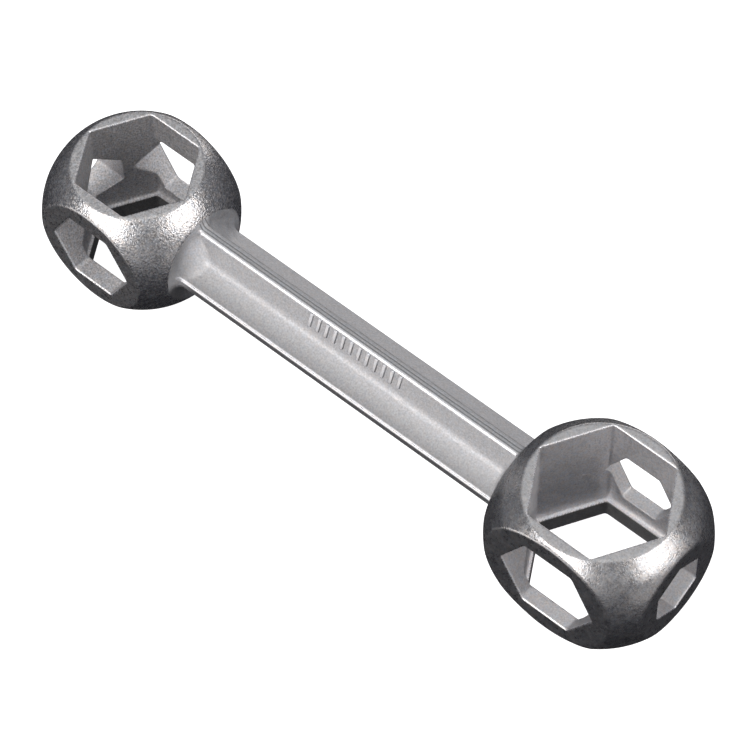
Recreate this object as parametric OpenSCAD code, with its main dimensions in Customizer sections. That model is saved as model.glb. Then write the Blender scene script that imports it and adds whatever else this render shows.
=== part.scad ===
// Ten-size hexagon spanner: two hollow ball heads joined by a fluted handle.
// The handle's axis runs along X, the large head is at +X, and the spanner
// rests on the bottom facets of both heads. All sizes are in millimetres.

/* [Heads] */
// Diameter of the large ball head
large_ball_d = 25.5; // [25:0.1:27]
// Diameter of the small ball head
small_ball_d = 23.4; // [23:0.1:25]
// Distance between the centres of the two balls
head_spacing = 68.5; // [55:0.5:110]
// Distance from the handle's axis to the top and bottom facets
level_facet = 8.75; // [8.6:0.05:8.9]
// Distance from the large ball's centre to its front and back facets
large_side_facet = 9.3; // [9:0.1:9.6]
// Distance from the small ball's centre to its front and back facets
small_side_facet = 8.85; // [8.6:0.05:9.1]
// Distance from the large ball's centre to its end facet
large_end_facet = 11; // [10.7:0.1:11.4]
// Distance from the small ball's centre to its end facet
small_end_facet = 10.2; // [9.9:0.1:10.5]
// Distance from the large ball's centre to the facet that the handle grows from
large_root_facet = 10.7; // [10.4:0.1:11]
// Distance from the small ball's centre to the facet that the handle grows from
small_root_facet = 9.9; // [9.6:0.1:10.2]
// Depth below the handle's axis of the ledge between top and bottom sockets
ledge_depth = 6.15; // [5.8:0.05:6.6]

/* [Large head sockets, across flats] */
// Top socket
large_top_af = 15; // [14.8:0.1:15.2]
// Bottom socket
large_bottom_af = 14; // [13.8:0.1:14.2]
// Front socket
large_front_af = 11; // [10.8:0.1:11.2]
// Back socket
large_back_af = 8; // [7.8:0.1:8.2]
// End socket
large_end_af = 7; // [6.8:0.1:7.2]

/* [Small head sockets, across flats] */
// Top socket
small_top_af = 13; // [12.8:0.1:13.2]
// Bottom socket
small_bottom_af = 12; // [11.8:0.1:12.2]
// Front socket
small_front_af = 10; // [9.8:0.1:10.2]
// Back socket
small_back_af = 9; // [8.8:0.1:9.2]
// End socket
small_end_af = 6; // [5.8:0.1:6.2]

/* [Handle] */
// Height of the handle's section over its top and bottom lands
handle_h = 10.9; // [10.6:0.1:11.4]
// Width of the handle's section over its side lands
handle_w = 9.6; // [9.2:0.1:9.9]
// Width of the flat land on the top and bottom ridges
level_land = 1.4; // [1.1:0.1:1.8]
// Width of the flat land on the side ridges
side_land = 1.3; // [1:0.1:1.6]
// Distance of each flute's valley from the handle's middle plane
valley_y = 1.8; // [1.6:0.05:2]
// Height of each flute's valley over the handle's axis
valley_z = 2.65; // [2.4:0.05:2.9]
// Radius of the round valley
valley_r = 1.8; // [0.8:0.1:2.4]
// Length of fluted handle that belongs to each head
neck_stub = 1; // [0.4:0.1:4]

/* [Size mark] */
// Number of raised bars in the plain mark that stands in for lettering
mark_bars = 12; // [4:1:14]
// Distance between two bars
mark_pitch = 1.2; // [1:0.05:1.4]
// Width of a bar
mark_bar_w = 0.5; // [0.4:0.05:0.7]
// Length of a bar across the flute
mark_bar_l = 1.8; // [1.2:0.1:2]
// Height of the bars over the surface
mark_relief = 0.15; // [0.1:0.05:0.3]
// Distance of the mark's middle from the large ball's centre
mark_offset = 34.4; // [30:0.1:40]

/* [Hidden] */
$fn = 96;
large_r = large_ball_d / 2;
small_r = small_ball_d / 2;
// The origin is under the middle of the whole length
length = small_end_facet + head_spacing + large_end_facet;
large_x = length / 2 - large_end_facet;
small_x = small_end_facet - length / 2;
// Corner-to-corner size of a hexagon over its size across flats
hex_corners = 2 / sqrt(3);
// Corners of one quarter of the handle's section
land_top = [level_land / 2, handle_h / 2];
land_side = [handle_w / 2, side_land / 2];
valley = [valley_y, valley_z];
// Directions from the valley up its two slopes, and the angle between them
to_top = (land_top - valley) / norm(land_top - valley);
to_side = (land_side - valley) / norm(land_side - valley);
valley_angle = acos(to_top * to_side);
// Where the round valley touches its slopes, and the centre of its arc
touch = valley_r / tan(valley_angle / 2);
bisector = (to_top + to_side) / norm(to_top + to_side);
valley_centre = valley + bisector * valley_r / sin(valley_angle / 2);
// Slope of the flute's steep side, which carries the mark
mark_tilt = atan2(to_top[0], to_top[1]);
// Small overlap that keeps cuts clean
eps = 0.01;

// Copies a quarter of the section into all four quarters
module four_quarters() {
    for (flip_y = [0, 1], flip_z = [0, 1])
        mirror([flip_y, 0]) mirror([0, flip_z]) children();
}

// Section of the handle, with its width along X and its height along Y
module handle_section() {
    four_quarters()
        difference() {
            polygon([
                [0, 0],
                [land_side[0], 0],
                land_side,
                valley + to_side * touch,
                valley_centre,
                valley + to_top * touch,
                land_top,
                [0, land_top[1]]
            ]);
            translate(valley_centre) circle(r = valley_r);
        }
}

// Fluted bar along +X, from one distance to another
module fluted_bar(from_x, to_x) {
    translate([from_x, 0, 0])
        rotate([90, 0, 90])
            linear_extrude(to_x - from_x) handle_section();
}

// Hexagonal hole along +Z with two of its corners in line with X
module hex_hole(af, from_z, to_z) {
    translate([0, 0, from_z])
        cylinder(d = af * hex_corners, h = to_z - from_z, $fn = 6);
}

// Ball with six flat facets: one round each socket, and one at -X for the handle
module faceted_ball(ball_r, side_facet, end_facet, root_facet) {
    intersection() {
        sphere(r = ball_r);
        translate([-root_facet, -side_facet, -level_facet])
            cube([root_facet + end_facet, 2 * side_facet, 2 * level_facet]);
    }
}

// Head centred on its ball: sockets up, down, front, back and at the +X end
module socket_head(ball_r, side_facet, end_facet, root_facet, top, bottom, front, back, end) {
    difference() {
        union() {
            faceted_ball(ball_r, side_facet, end_facet, root_facet);
            // The handle starts inside the wall behind the root facet
            fluted_bar(-root_facet - neck_stub, -root_facet + 1);
        }
        hex_hole(top, -ledge_depth, level_facet + eps);
        hex_hole(bottom, -level_facet - eps, 0);
        rotate([90, 0, 0]) hex_hole(front, 0, side_facet + eps);
        rotate([-90, 0, 0]) hex_hole(back, 0, side_facet + eps);
        rotate([0, 90, 0]) hex_hole(end, 0, end_facet + eps);
    }
}

module large_socket_head() {
    color([0.45, 0.45, 0.47])
        translate([large_x, 0, level_facet])
            socket_head(large_r, large_side_facet, large_end_facet, large_root_facet,
                large_top_af, large_bottom_af, large_front_af, large_back_af, large_end_af);
}

module small_socket_head() {
    color([0.45, 0.45, 0.47])
        translate([small_x, 0, level_facet])
            mirror([1, 0, 0])
                socket_head(small_r, small_side_facet, small_end_facet, small_root_facet,
                    small_top_af, small_bottom_af, small_front_af, small_back_af, small_end_af);
}

// Handle between the two heads
module fluted_handle() {
    color([0.72, 0.72, 0.73])
        translate([0, 0, level_facet])
            fluted_bar(small_x + small_root_facet + neck_stub, large_x - large_root_facet - neck_stub);
}

// Plain raised bars on the steep slope of the front upper flute
module size_mark() {
    slope_middle = (land_top + valley + to_top * touch) / 2;
    first_bar = (mark_bars - 1) / 2 * mark_pitch + mark_bar_w / 2;
    color([0.72, 0.72, 0.73])
        translate([large_x - mark_offset, -slope_middle[0], level_facet + slope_middle[1]])
            rotate([mark_tilt, 0, 0])
                for (i = [0 : mark_bars - 1])
                    translate([i * mark_pitch - first_bar, -mark_relief, -mark_bar_l / 2])
                        cube([mark_bar_w, mark_relief, mark_bar_l]);
}

large_socket_head();
small_socket_head();
fluted_handle();
size_mark();
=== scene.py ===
"""Looks of the ten-size hexagon ball spanner: two hollow ball heads and a fluted handle, in cast steel."""

import math

import bmesh
import bpy
import numpy as np
from mathutils import Matrix, Vector


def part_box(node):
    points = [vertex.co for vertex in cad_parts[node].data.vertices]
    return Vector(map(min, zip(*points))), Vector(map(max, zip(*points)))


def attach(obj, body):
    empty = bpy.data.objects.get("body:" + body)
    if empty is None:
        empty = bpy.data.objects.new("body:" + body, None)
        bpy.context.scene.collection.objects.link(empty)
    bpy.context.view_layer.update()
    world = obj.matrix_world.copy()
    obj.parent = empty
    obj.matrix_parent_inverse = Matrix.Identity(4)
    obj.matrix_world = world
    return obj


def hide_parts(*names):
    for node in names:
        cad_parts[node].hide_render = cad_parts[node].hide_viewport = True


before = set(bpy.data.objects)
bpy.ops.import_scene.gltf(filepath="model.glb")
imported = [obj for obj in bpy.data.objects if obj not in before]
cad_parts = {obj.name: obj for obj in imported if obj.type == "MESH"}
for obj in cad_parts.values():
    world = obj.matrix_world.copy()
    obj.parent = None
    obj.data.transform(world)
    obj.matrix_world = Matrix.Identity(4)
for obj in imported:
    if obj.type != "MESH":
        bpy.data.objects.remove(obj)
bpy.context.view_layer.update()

MM = 0.001

# ---------------------------------------------------------------- shape, in millimetres
LEVEL_FACET = 8.75        # axis to the top and bottom facets
LEDGE_DEPTH = 6.15        # axis to the ledge between the top and bottom sockets
HANDLE_H, HANDLE_W = 10.9, 9.6
LEVEL_LAND, SIDE_LAND = 1.4, 1.3
VALLEY_Y, VALLEY_Z = 1.8, 2.65

# How wide each rounding blends, roughly the radius of the edge or corner
MOUTH_EDGE = 0.22
INNER_EDGE = 0.12
SOCKET_CORNER = 0.3
LEDGE_CORNER = 0.45
LAND_EDGE = 0.36
VALLEY_BLEND = 0.36
BEVEL_BLEND = 0.25

# Size of the 45 degree bevel where a ridge of the handle ends at a head. A flute ends in a bevel
# of the head's own size, flute_end. One changes into the other between these two distances from
# the handle's axis.
RIDGE_END_BEVEL = 0.5
FLUTE_FLOOR = 3.3
RIDGE_START = 5.2

# How far the finishes reach: how far off a socket's wall is still bore, how far behind the upright
# facets the ball's full grain starts, and the width of the painted highlight on the lands' front
# edges and of the wear with painted highlight on the socket mouths
BORE_LAYER = 0.06
FACET_FADE = 0.12
LAND_HIGHLIGHT = 0.12
MOUTH_WEAR_AND_HIGHLIGHT = 0.07

# The two heads. sign is the side of the handle that a head is on. Sizes: the ball's radius, its
# facets' distances from the ball's centre, the sockets across flats, the slight bevel towards the
# level facets, the roundings round the level and the upright facets, and the bevel where the flutes
# end. Finish: strength of the grain, reach of the matte end of the flutes that is also painted
# lighter, and the painted shade in the top, side and bottom sockets.
HEADS = {
    "large_socket_head": dict(
        sign=1, ball_r=12.75, side=9.3, end=11.0, root=10.7,
        sockets=dict(top=15, bottom=14, front=11, back=8, end=7),
        bevel=12.42, level_rim=0.2, rim=0.24, flute_end=1.1,
        grit=0.45, matte_and_painted_light=0.3, painted_socket_shade=dict(top=0.0, sides=0.28, bottom=0.86),
    ),
    "small_socket_head": dict(
        sign=-1, ball_r=11.7, side=8.85, end=10.2, root=9.9,
        sockets=dict(top=13, bottom=12, front=10, back=9, end=6),
        bevel=12.0, level_rim=0.14, rim=0.2, flute_end=1.9,
        grit=1.0, matte_and_painted_light=2.4, painted_socket_shade=dict(top=0.34, sides=0.24, bottom=1.0),
    ),
}


def soft_max(a, b, width):
    """The larger of a and b, with a rounded change from one to the other."""
    return np.maximum(a, b) + np.maximum(width - np.abs(a - b), 0) ** 2 / (4 * width)


def soft_min(a, b, width):
    """The smaller of a and b, with a rounded change from one to the other."""
    return -soft_max(-a, -b, width)


def fade(value, full, none):
    """1 where the value is at full, falling to 0 where it is at none."""
    return np.clip((none - value) / (none - full), 0, 1)


def slope_distance(y, z, start, end):
    """Signed distance from the line through two points, positive on its left."""
    along = np.array(end) - np.array(start)
    along = along / np.linalg.norm(along)
    return (y - start[0]) * along[1] - (z - start[1]) * along[0]


def handle_section(y, z):
    """Distance from the outline of the fluted handle's section, negative inside."""
    y, z = np.abs(y), np.abs(z)
    valley = (VALLEY_Y, VALLEY_Z)
    upright = slope_distance(y, z, valley, (LEVEL_LAND / 2, HANDLE_H / 2))
    upright = soft_max(upright, z - HANDLE_H / 2, LAND_EDGE)
    level = -slope_distance(y, z, valley, (HANDLE_W / 2, SIDE_LAND / 2))
    level = soft_max(level, y - HANDLE_W / 2, LAND_EDGE)
    return soft_min(upright, level, VALLEY_BLEND)


def joined_to_handle(other, x, y, z, flute_end):
    """The handle's bar in the region x < 0, joined to another solid by a soft 45 degree bevel."""
    bar = np.maximum(handle_section(y, z), x)
    ridge = fade(np.hypot(y, z), RIDGE_START, FLUTE_FLOOR)
    bevel = flute_end + (RIDGE_END_BEVEL - flute_end) * ridge ** 2 * (3 - 2 * ridge)
    cone = (other + bar - bevel) / math.sqrt(2)
    return soft_min(soft_min(other, cone, 0.9 * bevel), bar, 0.4 * bevel)


def painted_land_highlights(y, z):
    """1 on the front edges of the handle's lands, where a highlight is painted, falling to 0 a little way
    off.
    """
    corners = ((LEVEL_LAND / 2, HANDLE_H / 2), (HANDLE_W / 2, SIDE_LAND / 2))
    off = np.min([np.hypot(-y - a, np.abs(z) - b) for a, b in corners], axis=0)
    return fade(off, LAND_HIGHLIGHT, LAND_HIGHLIGHT + 0.2)


def front_flank_shading(y):
    """Painted shade: 0 in the valleys of the front flutes, growing to 1 on the front side land."""
    return fade(-y, HANDLE_W / 2 - 0.3, VALLEY_Y + 0.3)


def matte_lit_end(gap, y, z, head):
    """Matte, and painted lighter: 1 at the front upper end of the flutes, fading along the handle,
    downwards and to the back.
    """
    return fade(gap, 0, head["matte_and_painted_light"]) * fade(z, 0, -1.5) * (0.2 + 0.8 * fade(y, -2.4, 2.4))


def hexagon(u, v, across):
    """Distance from a hexagon's outline, with two of its corners on the u axis."""
    v_round = soft_max(v, -v, SOCKET_CORNER)
    return soft_max(np.abs(v), math.sqrt(3) / 2 * np.abs(u) + v_round / 2, SOCKET_CORNER) - across / 2


def sockets(x, y, z, size):
    """Distance from the joined hollow of a head's five sockets, negative in the hollow."""
    hollow = soft_max(hexagon(x, y, size["top"]), -(z + LEDGE_DEPTH), LEDGE_CORNER)
    for part in (
        np.maximum(hexagon(x, y, size["bottom"]), z),
        np.maximum(hexagon(x, z, size["front"]), y),
        np.maximum(hexagon(x, z, size["back"]), -y),
        np.maximum(hexagon(z, y, size["end"]), -x),
    ):
        hollow = soft_min(hollow, part, INNER_EDGE)
    return hollow


def upright_facets(x, y, head):
    """Distance outside the nearest of a head's four upright facet planes."""
    return np.maximum(np.abs(y) - head["side"], np.maximum(x - head["end"], -x - head["root"]))


def head_distance(points, head):
    """Distance from a whole head centred on its ball, with its end facet at +x and the handle at -x."""
    x, y, z = points[..., 0], points[..., 1], points[..., 2]
    ball = np.sqrt(x * x + y * y + z * z) - head["ball_r"]
    # A slight bevel rounds the large ball off towards its level facets, and stays clear of the small one
    body = soft_max(ball, (np.hypot(x, y) + np.abs(z)) / math.sqrt(2) - head["bevel"], BEVEL_BLEND)
    body = soft_max(body, upright_facets(x, y, head), head["rim"])
    body = soft_max(body, np.abs(z) - LEVEL_FACET, head["level_rim"])
    body = joined_to_handle(body, x, y, z, head["flute_end"])
    return soft_max(body, -sockets(x, y, z, head["sockets"]), MOUTH_EDGE)


def gradient(distance, points, step=0.01):
    """Slope of a distance function at each point."""
    out = np.empty_like(points)
    for axis in range(points.shape[-1]):
        shift = np.zeros(points.shape[-1])
        shift[axis] = step
        out[..., axis] = (distance(points + shift) - distance(points - shift)) / (2 * step)
    return out


def outward(distance, points):
    """Unit vectors straight out of the surface at each point."""
    slope = gradient(distance, points)
    return slope / np.linalg.norm(slope, axis=1, keepdims=True)


def onto_surface(distance, points, rounds=4):
    """Moves points along the gradient until they lie on the surface."""
    for _ in range(rounds):
        slope = gradient(distance, points)
        length = np.maximum((slope ** 2).sum(-1), 0.05)
        points = points - slope * (distance(points) / length)[..., None]
    return points


# ---------------------------------------------------------------- meshes
def surface_net(distance, low, high, step):
    """Quads over the surface where distance is 0, one corner in each grid cell that it crosses."""
    axes = [np.arange(a, b + step, step) for a, b in zip(low, high)]
    values = np.empty([len(a) for a in axes], np.float32)
    grid_y, grid_z = np.meshgrid(axes[1], axes[2], indexing="ij")
    for i, x in enumerate(axes[0]):
        values[i] = distance(np.stack([np.full_like(grid_y, x), grid_y, grid_z], -1))
    inside = values < 0
    n = np.array(values.shape) - 1
    filled = sum(inside[a:n[0] + a, b:n[1] + b, c:n[2] + c].astype(np.int8)
                 for a in (0, 1) for b in (0, 1) for c in (0, 1))
    active = (filled > 0) & (filled < 8)
    number = np.full(active.shape, -1)
    number[active] = np.arange(active.sum())
    cells = np.argwhere(active)
    points = np.array(low) + (cells + 0.5) * step
    quads = []
    for axis in range(3):
        before = inside[tuple(np.s_[:-1] if a == axis else np.s_[1:-1] for a in range(3))]
        after = inside[tuple(np.s_[1:] if a == axis else np.s_[1:-1] for a in range(3))]
        crossing = before != after
        found = np.argwhere(crossing)
        leaving = before[crossing]
        others = [a for a in range(3) if a != axis]
        found[:, others[0]] += 1
        found[:, others[1]] += 1
        ring = []
        for first, second in ((1, 1), (0, 1), (0, 0), (1, 0)):
            cell = found.copy()
            cell[:, others[0]] -= first
            cell[:, others[1]] -= second
            ring.append(number[cell[:, 0], cell[:, 1], cell[:, 2]])
        ring = np.stack(ring, 1)
        backwards = leaving if axis == 1 else ~leaving
        ring[backwards] = ring[backwards][:, ::-1]
        quads.append(ring)
    return points, np.concatenate(quads)


def linked(name, mesh):
    """Puts a mesh in the scene as an object."""
    piece = bpy.data.objects.new(name, mesh)
    bpy.context.scene.collection.objects.link(piece)
    return piece


def object_from(name, points, faces):
    """Mesh object from points in millimetres."""
    mesh = bpy.data.meshes.new(name)
    mesh.from_pydata((points * MM).tolist(), [], faces)
    mesh.validate()
    return linked(name, mesh)


def object_of(name, shape):
    """Mesh object from a bmesh, which is freed."""
    mesh = bpy.data.meshes.new(name)
    shape.to_mesh(mesh)
    shape.free()
    return linked(name, mesh)


def coordinates(mesh):
    """The mesh's vertices in millimetres."""
    out = np.empty(len(mesh.vertices) * 3)
    mesh.vertices.foreach_get("co", out)
    return out.reshape(-1, 3) / MM


def put_coordinates(mesh, points):
    mesh.vertices.foreach_set("co", (points * MM).ravel())
    mesh.update()


def reduce_triangles(piece, ratio):
    """Leaves this share of the piece's triangles, most of them where the shape curves."""
    modifier = piece.modifiers.new("Decimate", "DECIMATE")
    modifier.ratio = ratio
    modifier.use_collapse_triangulate = True
    bpy.context.view_layer.update()
    result = bpy.data.meshes.new_from_object(piece.evaluated_get(bpy.context.evaluated_depsgraph_get()))
    piece.modifiers.clear()
    whole = piece.data
    piece.data = result
    bpy.data.meshes.remove(whole)


def share(mesh, name, values):
    """Stores how much of one finish each vertex has, from 0 to 1."""
    layer = mesh.attributes.new(name, "FLOAT", "POINT")
    layer.data.foreach_set("value", np.clip(values, 0, 1).astype(np.float32))


def smooth(mesh, normals):
    """Shades the mesh with the exact directions of the surface it follows."""
    mesh.shade_smooth()
    mesh.normals_split_custom_set_from_vertices(normals.tolist())


handle_low, handle_high = (np.array(corner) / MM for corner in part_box("fluted_handle"))
axis_z = (handle_low[2] + handle_high[2]) / 2


def ball_centre(name):
    """The middle of a head's ball, found from the outer face of its end socket."""
    low, high = (np.array(corner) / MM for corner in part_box(name))
    end = HEADS[name]["end"]
    return np.array([high[0] - end if HEADS[name]["sign"] > 0 else low[0] + end, 0, axis_z])


# Where the handle grows from the flat root facet of each head
large_root = ball_centre("large_socket_head")[0] - HEADS["large_socket_head"]["root"]
small_root = ball_centre("small_socket_head")[0] + HEADS["small_socket_head"]["root"]

GRID_STEP = 0.17
TRIANGLES = 180000


def cut_flat(mesh, seam):
    """Cuts off what a head's mesh has at x below the seam, and closes it with a flat face."""
    cut = bmesh.new()
    cut.from_mesh(mesh)
    bmesh.ops.bisect_plane(cut, geom=cut.verts[:] + cut.edges[:] + cut.faces[:],
                           plane_co=(seam * MM, 0, 0), plane_no=(-1, 0, 0), clear_outer=True)
    # Where the cut passes close by a vertex it leaves doubles, which are merged
    on_cut = [v for v in cut.verts if abs(v.co.x - seam * MM) < 0.001 * MM]
    bmesh.ops.remove_doubles(cut, verts=on_cut, dist=0.01 * MM)
    bmesh.ops.holes_fill(cut, edges=[e for e in cut.edges if e.is_boundary], sides=0)
    bmesh.ops.triangulate(cut, faces=[f for f in cut.faces if len(f.verts) > 4])
    bmesh.ops.recalc_face_normals(cut, faces=cut.faces)
    cut.to_mesh(mesh)
    cut.free()


def share_on_head(mesh, points, head):
    """Stores how much of each finish a head's vertices have, from where they lie on its shape."""
    # The small distances here are slack for vertices that lie right on a facet, wall or edge
    x, y, z = points.T
    behind_level = LEVEL_FACET - np.abs(z)
    behind_upright = -upright_facets(x, y, head)
    hollow = sockets(x, y, z, head["sockets"])
    bore = (hollow < BORE_LAYER) * 1.0
    on_neck = (-x > head["root"] - 0.04) & (hollow > BORE_LAYER)
    on_ball = np.minimum(behind_level / (0.5 * head["level_rim"]), behind_upright / FACET_FADE)
    share(mesh, "bore", bore)
    share(mesh, "skin", (1 - bore) * (~on_neck) * np.clip(on_ball, 0, 1))
    share(mesh, "grit", np.full(len(points), head["grit"]))
    share(mesh, "neck", on_neck * 1.0)
    # Painted shade in the sockets: the bottom socket is the darkest, and the side sockets differ from the
    # top one
    painted_socket_shade = head["painted_socket_shade"]
    in_top = hexagon(x, y, head["sockets"]["top"]) < 0.05
    above_ledge = np.where(in_top, painted_socket_shade["top"], painted_socket_shade["sides"])
    share(mesh, "socket_shade", bore * np.where(z < -LEDGE_DEPTH - 0.02, painted_socket_shade["bottom"], above_ledge))
    share(mesh, "painted_flank_shade", on_neck * front_flank_shading(y))
    share(mesh, "matte_and_painted_light", on_neck * matte_lit_end(-x - head["root"], y, z, head))
    # The edges of the socket mouths get wear and a painted highlight, as bright as the painted highlight
    # on the handle's lands
    off_mouth = np.maximum(hollow, np.minimum(behind_level, behind_upright))
    mouth_wear_and_highlight = fade(off_mouth, MOUTH_WEAR_AND_HIGHLIGHT, 2 * MOUTH_WEAR_AND_HIGHLIGHT) * (hollow > -0.01)
    share(mesh, "wear_and_highlight", on_neck * painted_land_highlights(y, z) + mouth_wear_and_highlight)


def build_head(name):
    """A head's mesh on the surface of its distance function, cut flat where the handle starts."""
    head = HEADS[name]
    sign, centre = head["sign"], ball_centre(name)
    seam = sign * ((handle_high if sign > 0 else handle_low)[0] - centre[0])
    room = 3 * GRID_STEP

    def distance(points):
        return head_distance(points, head)

    points, quads = surface_net(
        distance,
        (seam - room, -head["side"] - room, -LEVEL_FACET - room),
        (head["end"] + room, head["side"] + room, LEVEL_FACET + room),
        GRID_STEP,
    )
    piece = object_from("cast_" + name, onto_surface(distance, points), quads.tolist())
    reduce_triangles(piece, min(1.0, TRIANGLES / (2 * len(quads))))
    mesh = piece.data
    cut_flat(mesh, seam)

    # The vertices go back onto the surface, except that the seam stays flat
    points = coordinates(mesh)
    on_seam = np.abs(points[:, 0] - seam) < 1e-4
    points = onto_surface(distance, points, 2)
    points[on_seam, 0] = seam
    share_on_head(mesh, points, head)
    normals = outward(distance, points)
    # Both heads are made with the handle at -x, and the small one is mirrored into its place
    mirror = np.array([sign, 1, 1])
    put_coordinates(mesh, points * mirror + centre)
    if sign < 0:
        mesh.flip_normals()
    smooth(mesh, normals * mirror)
    return piece


def bar_distance(points):
    """Distance from the handle between the two root facets, in the shared frame."""
    x, y, z = points[..., 0], points[..., 1], points[..., 2] - axis_z
    ends = ((x - small_root, HEADS["small_socket_head"]), (large_root - x, HEADS["large_socket_head"]))
    # The bar has no end of its own between the heads, so any x well inside its region will do
    inside = -8.0
    return np.minimum(*(joined_to_handle(gap, inside, y, z, head["flute_end"]) for gap, head in ends))


def bar_outline(x, turn):
    """Distance of the bar's surface from its axis, for each x and each direction round the axis."""
    x, turn = np.broadcast_arrays(x, turn)
    # The surface lies between these two radii, and every round halves the space between them
    inner, outer = np.full(x.shape, 1.0), np.full(x.shape, 8.0)
    for _ in range(30):
        middle = (inner + outer) / 2
        spot = np.stack([x, middle * np.cos(turn), middle * np.sin(turn) + axis_z], -1)
        solid = bar_distance(spot) < 0
        inner, outer = np.where(solid, middle, inner), np.where(solid, outer, middle)
    return inner


def even_turns(count):
    """Directions round the axis that are evenly spaced along the outline of the bar."""
    turn = np.linspace(0, 2 * math.pi, 4001)
    radius = bar_outline((small_root + large_root) / 2, turn)
    outline = np.stack([radius * np.cos(turn), radius * np.sin(turn)], 1)
    travel = np.concatenate([[0], np.cumsum(np.linalg.norm(np.diff(outline, axis=0), axis=1))])
    return np.interp(np.linspace(0, travel[-1], count, endpoint=False), travel, turn)


def build_handle():
    """The fluted handle as rings of vertices, with flat ends against both heads."""
    count, rings = 360, 121
    turn = even_turns(count)
    # The rings stand closer together in the bevels at both ends
    t = np.linspace(0, 1, rings)
    t -= np.sin(2 * math.pi * t) / (2 * math.pi) * 0.85
    along = handle_low[0] + (handle_high[0] - handle_low[0]) * t
    radius = bar_outline(along[:, None], turn)
    points = np.stack([np.broadcast_to(along[:, None], radius.shape),
                       radius * np.cos(turn), radius * np.sin(turn) + axis_z], -1).reshape(-1, 3)
    faces = [[s * count + i, s * count + (i + 1) % count,
              (s + 1) * count + (i + 1) % count, (s + 1) * count + i]
             for s in range(rings - 1) for i in range(count)]
    faces.append(list(range(count))[::-1])
    faces.append([(rings - 1) * count + i for i in range(count)])
    piece = object_from("cast_fluted_handle", points, faces)
    mesh = piece.data
    x, y, z = points[:, 0], points[:, 1], points[:, 2] - axis_z
    small_end = matte_lit_end(x - small_root, y, z, HEADS["small_socket_head"])
    large_end = matte_lit_end(large_root - x, y, z, HEADS["large_socket_head"])
    share(mesh, "neck", np.ones(len(points)))
    share(mesh, "grit", np.ones(len(points)))
    share(mesh, "painted_flank_shade", front_flank_shading(y))
    share(mesh, "matte_and_painted_light", np.maximum(small_end, large_end))
    share(mesh, "wear_and_highlight", painted_land_highlights(y, z))
    smooth(mesh, outward(bar_distance, points))
    return piece


def build_mark():
    """Raised bars with rounded edges, on the steep slope of the front upper flute."""
    low, high = (np.array(corner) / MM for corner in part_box("size_mark"))
    bars, bar_w, bar_l, relief, sunk, edge = 12, 0.5, 1.8, 0.13, 0.12, 0.07
    tilt = math.atan2(VALLEY_Y - LEVEL_LAND / 2, HANDLE_H / 2 - VALLEY_Z)
    middle = (low + high) / 2
    shape = bmesh.new()
    for x in np.linspace(low[0] + bar_w / 2, high[0] - bar_w / 2, bars):
        size = Matrix.Diagonal((bar_w * MM, (relief + sunk) * MM, bar_l * MM, 1))
        lean = Matrix.Rotation(-tilt, 4, "X")
        out = lean @ Vector((0, -1, 0))
        at = Vector((x, middle[1], middle[2])) * MM - out * sunk / 2 * MM
        bmesh.ops.create_cube(shape, size=1, matrix=Matrix.Translation(at) @ lean @ size)
    bmesh.ops.bevel(shape, geom=shape.edges[:], offset=edge * MM, segments=3, profile=0.5, affect="EDGES")
    piece = object_of("raised_mark_bars", shape)
    mesh = piece.data
    mesh.shade_smooth()
    share(mesh, "neck", np.ones(len(mesh.vertices)))
    share(mesh, "grit", np.ones(len(mesh.vertices)))
    # Part of the painted highlight, which makes the raised bars lighter
    share(mesh, "wear_and_highlight", np.full(len(mesh.vertices), 0.4))
    return piece


# ---------------------------------------------------------------- materials
class Nodes:
    """Short ways to add and join nodes in one material."""

    def __init__(self, tree):
        self.tree = tree

    def add(self, kind, **settings):
        node = self.tree.nodes.new(kind)
        for key, value in settings.items():
            setattr(node, key, value)
        return node

    def put(self, socket, value):
        if hasattr(value, "is_output"):
            self.tree.links.new(value, socket)
        else:
            socket.default_value = value

    def maths(self, operation, a, b=0.0, clamp=False):
        node = self.add("ShaderNodeMath", operation=operation, use_clamp=clamp)
        self.put(node.inputs[0], a)
        self.put(node.inputs[1], b)
        return node.outputs[0]

    def noise(self, where, size, detail=2.0, rough=0.5):
        """Noise from 0 to 1, with features about size millimetres across."""
        node = self.add("ShaderNodeTexNoise")
        self.put(node.inputs["Vector"], where)
        self.put(node.inputs["Scale"], 1 / (size * MM))
        self.put(node.inputs["Detail"], detail)
        self.put(node.inputs["Roughness"], rough)
        return node.outputs["Fac"]

    def ramp(self, value, from_low, from_high, to_low, to_high):
        """Maps one range of values onto another, and stops at its ends."""
        node = self.add("ShaderNodeMapRange")
        for socket, v in zip(("Value", "From Min", "From Max", "To Min", "To Max"),
                             (value, from_low, from_high, to_low, to_high)):
            self.put(node.inputs[socket], v)
        return node.outputs["Result"]

    def finish(self, name):
        """How much of one finish the surface has, from the mesh's vertices."""
        node = self.add("ShaderNodeAttribute", attribute_name=name)
        return node.outputs["Fac"]

    def total(self, *parts):
        out = parts[0]
        for part in parts[1:]:
            out = self.maths("ADD", out, part)
        return out


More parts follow.
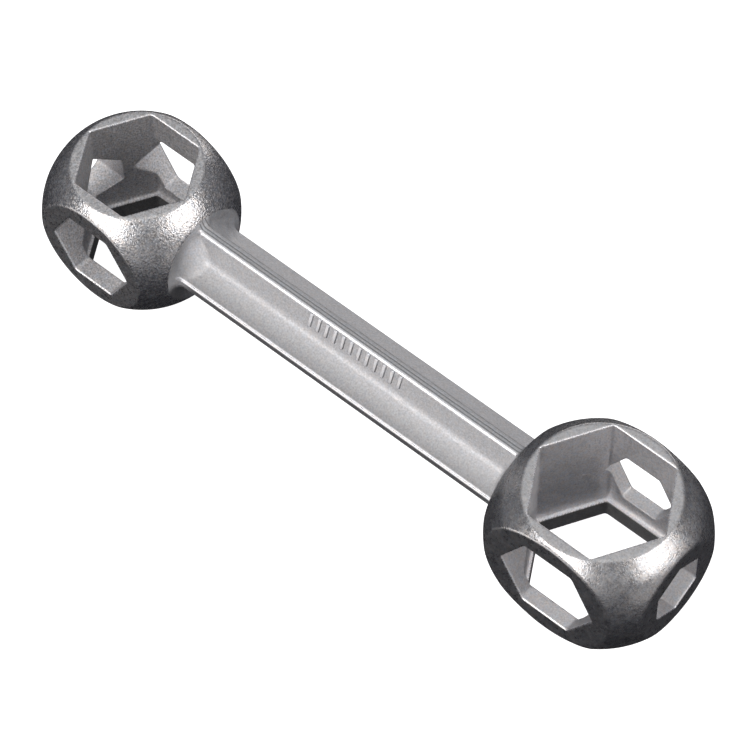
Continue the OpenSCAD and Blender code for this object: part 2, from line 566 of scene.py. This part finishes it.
def cast_metal():
    """Satin cast steel: grainy on the balls, finer in the sockets, smooth on facets and handle."""
    material = bpy.data.materials.new("satin_cast_steel")
    material.use_nodes = True
    n = Nodes(material.node_tree)
    shader = material.node_tree.nodes["Principled BSDF"]
    where = n.add("ShaderNodeTexCoord").outputs["Object"]
    at = n.add("ShaderNodeSeparateXYZ")
    n.put(at.inputs[0], where)
    skin, bore, neck = n.finish("skin"), n.finish("bore"), n.finish("neck")
    socket_shade, wear_and_highlight, grit = n.finish("socket_shade"), n.finish("wear_and_highlight"), n.finish("grit")
    painted_flank_shade, matte_and_painted_light = n.finish("painted_flank_shade"), n.finish("matte_and_painted_light")
    facet = n.maths("SUBTRACT", 1.0, n.total(skin, bore, neck), clamp=True)

    def times(a, b):
        return n.maths("MULTIPLY", a, b)

    def centred(noise):
        return n.maths("SUBTRACT", noise, 0.5)

    def by_finish(*amounts):
        """One value for skin, bore, facet and neck in turn."""
        return n.total(*(times(part, amount) for part, amount in zip((skin, bore, facet, neck), amounts)))

    grain = times(centred(n.noise(where, 0.2, 1.0)), grit)
    specks = times(n.ramp(n.noise(where, 0.24, 1.0), 0.46, 0.6, 0.0, 1.0), grit)
    mottle = n.noise(where, 0.8, 3.0, 0.6)
    waves = n.noise(where, 2.6, 2.0, 0.5)
    # 1 on the skin of a head with fine grain, 0 where the grain is at its full strength
    fine_skin = times(skin, n.ramp(grit, HEADS["large_socket_head"]["grit"], 1.0, 1.0, 0.0))

    # Fine dark lines along the top land of the handle: the middle one is the seam left by the halves of
    # the mould, the two near the land's edges are painted shade
    wander = times(centred(n.noise(where, 1.3, 3.0, 0.6)), 0.16 * MM)
    seam_and_shade_lines = 0.0
    for line_y in (-0.3, 0.12, 0.66):
        off_line = n.maths("SUBTRACT", n.maths("ADD", at.outputs["Y"], wander), line_y * MM)
        line = n.ramp(n.maths("ABSOLUTE", off_line), 0.02 * MM, 0.12 * MM, 1.0, 0.0)
        seam_and_shade_lines = n.maths("MAXIMUM", seam_and_shade_lines, line)
    top = axis_z + HANDLE_H / 2
    on_land = n.ramp(at.outputs["Z"], (top - 0.14) * MM, (top - 0.08) * MM, 0.0, 1.0)
    seam_and_shade_lines = times(times(seam_and_shade_lines, on_land), neck)

    # Relief, in millimetres
    height = n.total(
        times(grain, by_finish(0.032, 0.022, 0.01, 0.004)),
        times(centred(mottle), by_finish(0.03, 0.012, 0.006, 0.008)),
        times(centred(waves), by_finish(0.04, 0.01, 0.02, 0.012)),
        times(seam_and_shade_lines, -0.02),
    )
    bump = n.add("ShaderNodeBump")
    bump.inputs["Distance"].default_value = MM
    bump.inputs["Strength"].default_value = 1.0
    n.put(bump.inputs["Height"], height)
    n.put(shader.inputs["Normal"], bump.outputs["Normal"])

    rough = n.total(
        by_finish(0.22, 0.50, 0.29, 0.52),
        times(specks, by_finish(0.16, 0.10, 0.12, 0.05)),
        times(fine_skin, 0.05),
        times(matte_and_painted_light, 0.36),
        n.ramp(mottle, 0.3, 0.7, -0.04, 0.04),
    )
    rough = times(rough, n.ramp(wear_and_highlight, 0.0, 1.0, 1.0, 0.5))
    n.put(shader.inputs["Roughness"], rough)

    # How bright the metal is: darker along the seam line and the painted shade lines, in the sockets
    # with painted shade and on the front flanks with painted shade; lighter with painted light at the
    # matte end of the flutes, and with wear and painted highlights on edges
    tone = n.total(
        by_finish(0.60, 0.90, 0.54, 0.54),
        times(fine_skin, -0.08),
        # Painted light at the front upper end of the flutes, most near the handle's axis
        times(matte_and_painted_light, n.ramp(at.outputs["Z"], axis_z * MM, (axis_z + 5) * MM, 0.55, 0.15)),
        times(grain, by_finish(0.95, 1.1, 0.7, 0.36)),
        times(centred(mottle), by_finish(0.25, 0.2, 0.25, 0.12)),
    )
    tone = times(tone, n.ramp(seam_and_shade_lines, 0.0, 1.0, 1.0, 0.5))
    tone = times(tone, n.ramp(socket_shade, 0.0, 1.0, 1.0, 0.22))
    tone = times(tone, n.ramp(n.maths("SUBTRACT", painted_flank_shade, wear_and_highlight, clamp=True), 0.0, 1.0, 1.0, 0.55))
    tone = n.maths("MINIMUM", n.total(tone, times(wear_and_highlight, 0.4)), 0.97)

    # Faint warm and cool patches, and a handle that is slightly cooler than the balls
    patches = n.ramp(n.noise(where, 0.5, 2.0, 0.7), 0.3, 0.7, -1.0, 1.0)
    warmth = n.total(
        times(patches, by_finish(0.055, 0.045, 0.04, 0.03)),
        by_finish(0.004, 0.0, 0.0, -0.014),
    )
    colour = n.add("ShaderNodeCombineColor")
    n.put(colour.inputs[0], times(tone, n.maths("ADD", 1.0, warmth)))
    n.put(colour.inputs[1], times(tone, 0.988))
    n.put(colour.inputs[2], times(tone, n.maths("SUBTRACT", 1.0, warmth)))
    n.put(shader.inputs["Base Color"], colour.outputs[0])
    shader.inputs["Metallic"].default_value = 1.0
    # Cast metal is duller than polished metal where it is seen at a glancing angle
    shader.inputs["Specular Tint"].default_value = (0.65, 0.65, 0.65, 1)
    return material


metal = cast_metal()
pieces = {
    "large_socket_head": (build_head("large_socket_head"), "head_casting"),
    "small_socket_head": (build_head("small_socket_head"), "head_casting"),
    "fluted_handle": (build_handle(), "handle_casting"),
    "size_mark": (build_mark(), "handle_casting"),
}
for node, (piece, finish_slot) in pieces.items():
    piece.data.materials.clear()
    piece.data.materials.append(metal)
    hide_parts(node)
    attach(piece, "root")


# ---------------------------------------------------------------- floor, light and camera
def glow(name, strength, diffuse):
    """A plain pale surface that gives off its own even white light."""
    material = bpy.data.materials.new(name)
    material.use_nodes = True
    shader = material.node_tree.nodes["Principled BSDF"]
    shader.inputs["Base Color"].default_value = (diffuse, diffuse, diffuse, 1)
    shader.inputs["Roughness"].default_value = 0.9
    shader.inputs["Emission Color"].default_value = (1, 1, 1, 1)
    shader.inputs["Emission Strength"].default_value = strength
    return material


def surround(name, shape, material):
    """A pale surrounding that the metal's reflections leave out, as they see only the studio lights."""
    piece = object_of(name, shape)
    piece.data.materials.append(material)
    piece.visible_glossy = False
    piece.visible_diffuse = False
    piece.visible_shadow = False
    return piece


floor_shape = bmesh.new()
bmesh.ops.create_circle(floor_shape, cap_ends=True, radius=3.0, segments=64)
floor = surround("pale_floor", floor_shape, glow("pale_floor", strength=0.97, diffuse=0.8))
# Just under the object, so that the two share no plane
floor.location.z = -0.5 * MM
backdrop_shape = bmesh.new()
bmesh.ops.create_uvsphere(backdrop_shape, u_segments=48, v_segments=24, radius=2.9)
surround("pale_backdrop", backdrop_shape, glow("pale_backdrop", strength=0.9, diffuse=0.0))


def direction(azimuth, elevation):
    """Unit vector: azimuth 0 is the front, 90 is +X; both in degrees."""
    a, e = math.radians(azimuth), math.radians(elevation)
    return Vector((math.sin(a) * math.cos(e), -math.cos(a) * math.cos(e), math.sin(e)))


LIGHT_DISTANCE = 1.2
LIGHT_COLOUR = (1.0, 0.965, 0.94)


def softbox(name, azimuth, elevation, width, height, radiance):
    """A rectangular light seen from the object at that direction, width and height in degrees."""
    light = bpy.data.lights.new(name, "AREA")
    light.shape = "RECTANGLE"
    light.size = 2 * LIGHT_DISTANCE * math.tan(math.radians(width / 2))
    light.size_y = 2 * LIGHT_DISTANCE * math.tan(math.radians(height / 2))
    light.color = LIGHT_COLOUR
    light.energy = radiance * math.pi * light.size * light.size_y
    lamp = bpy.data.objects.new(name, light)
    lamp.visible_camera = False
    toward = direction(azimuth, elevation)
    lamp.location = toward * LIGHT_DISTANCE
    lamp.rotation_euler = toward.to_track_quat("Z", "Y").to_euler()
    bpy.context.scene.collection.objects.link(lamp)


softbox("front_softbox", -7, 31, 49, 28, 3.65)
softbox("side_softbox", 101, 27, 39, 25, 3.1)
softbox("corner_fill", 26, 2, 50, 26, 0.25)
softbox("low_side_fill", 96, -12, 60, 28, 0.35)
softbox("low_front_fill", -24, -16, 34, 26, 1.55)
softbox("back_fill", -155, 0, 46, 20, 1.5)

# The rest of the studio: a glow that grows from the floor up, slightly blue below
world = bpy.data.worlds.new("studio")
bpy.context.scene.world = world
world.use_nodes = True
w = Nodes(world.node_tree)
background = world.node_tree.nodes["Background"]
parts = w.add("ShaderNodeSeparateXYZ")
w.put(parts.inputs[0], w.add("ShaderNodeTexCoord").outputs["Generated"])
glow_ramp = w.add("ShaderNodeValToRGB")
w.put(glow_ramp.inputs["Fac"], w.ramp(parts.outputs["Z"], -1.0, 1.0, 0.0, 1.0))
brightness_by_elevation = (
    (-90, 0.03), (-50, 0.055), (-25, 0.1), (-10, 0.15), (0, 0.2),
    (15, 0.26), (35, 0.4), (45, 0.52), (58, 0.8), (90, 0.85),
)
while len(glow_ramp.color_ramp.elements) < len(brightness_by_elevation):
    glow_ramp.color_ramp.elements.new(0.5)
for element, (elevation, value) in zip(glow_ramp.color_ramp.elements, brightness_by_elevation):
    position = (math.sin(math.radians(elevation)) + 1) / 2
    element.position = position
    blue = max(0.0, 1 - position)
    element.color = (value * (1 - 0.17 * blue), value * (1 - 0.15 * blue), value, 1)
w.put(background.inputs["Color"], glow_ramp.outputs["Color"])
background.inputs["Strength"].default_value = 1.0

bpy.context.scene.view_settings.view_transform = "Standard"

# The camera's place, and the directions of its own three axes: right, up and back
CAMERA_AT = Vector((146.31, -165.25, 334.57)) * MM
AIM_AXES = ((0.75904, 0.651, -0.00741), (-0.53656, 0.63198, 0.5592), (0.36872, -0.42048, 0.829))
lens = bpy.data.cameras.new("view")
lens.lens = 166.15
lens.sensor_width = 36
lens.clip_end = 20
camera = bpy.data.objects.new("view", lens)
camera.matrix_world = Matrix.Translation(CAMERA_AT) @ Matrix(AIM_AXES).transposed().to_4x4()
bpy.context.scene.collection.objects.link(camera)
bpy.context.scene.camera = camera
